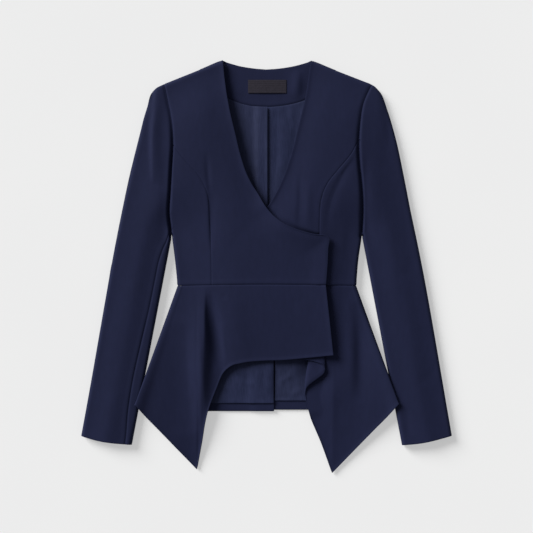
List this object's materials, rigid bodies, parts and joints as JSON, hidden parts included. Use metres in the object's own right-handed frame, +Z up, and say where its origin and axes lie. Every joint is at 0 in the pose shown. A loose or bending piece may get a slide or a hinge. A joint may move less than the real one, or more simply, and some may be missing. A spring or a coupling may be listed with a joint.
{
  "type": "peplum jacket",
  "caption": "Fitted V-neck wrap jacket with a flared handkerchief-hem peplum and long two-piece sleeves, laid flat on its back.",
  "frame": {"origin": "centre of the laid jacket's bounding box, on the surface that its back lies on", "axes": "+Z up from the surface, +Y from the cuffs to the neck, +X to the wearer's left sleeve"},
  "size_m": [0.6501, 0.7239, 0.0251],
  "materials": {
    "navy_crepe": "matte",
    "navy_satin": "satin",
    "charcoal_label": "matte"
  },
  "bodies": {
    "root": {"right_front": "navy_crepe", "right_side_front": "navy_crepe", "left_front": "navy_crepe", "left_side_front": "navy_crepe", "back_right": "navy_crepe", "back_left": "navy_crepe", "right_peplum": "navy_crepe", "left_peplum": "navy_crepe", "back_peplum_right": "navy_crepe", "back_peplum_left": "navy_crepe", "right_top_sleeve": "navy_crepe", "right_under_sleeve": "navy_crepe", "left_top_sleeve": "navy_crepe", "left_under_sleeve": "navy_crepe", "neck_facing": "navy_crepe", "label": "charcoal_label", "back_lining_right": "navy_satin", "back_lining_left": "navy_satin", "peplum_lining_right": "navy_satin", "peplum_lining_left": "navy_satin"}
  },
  "joints": []
}
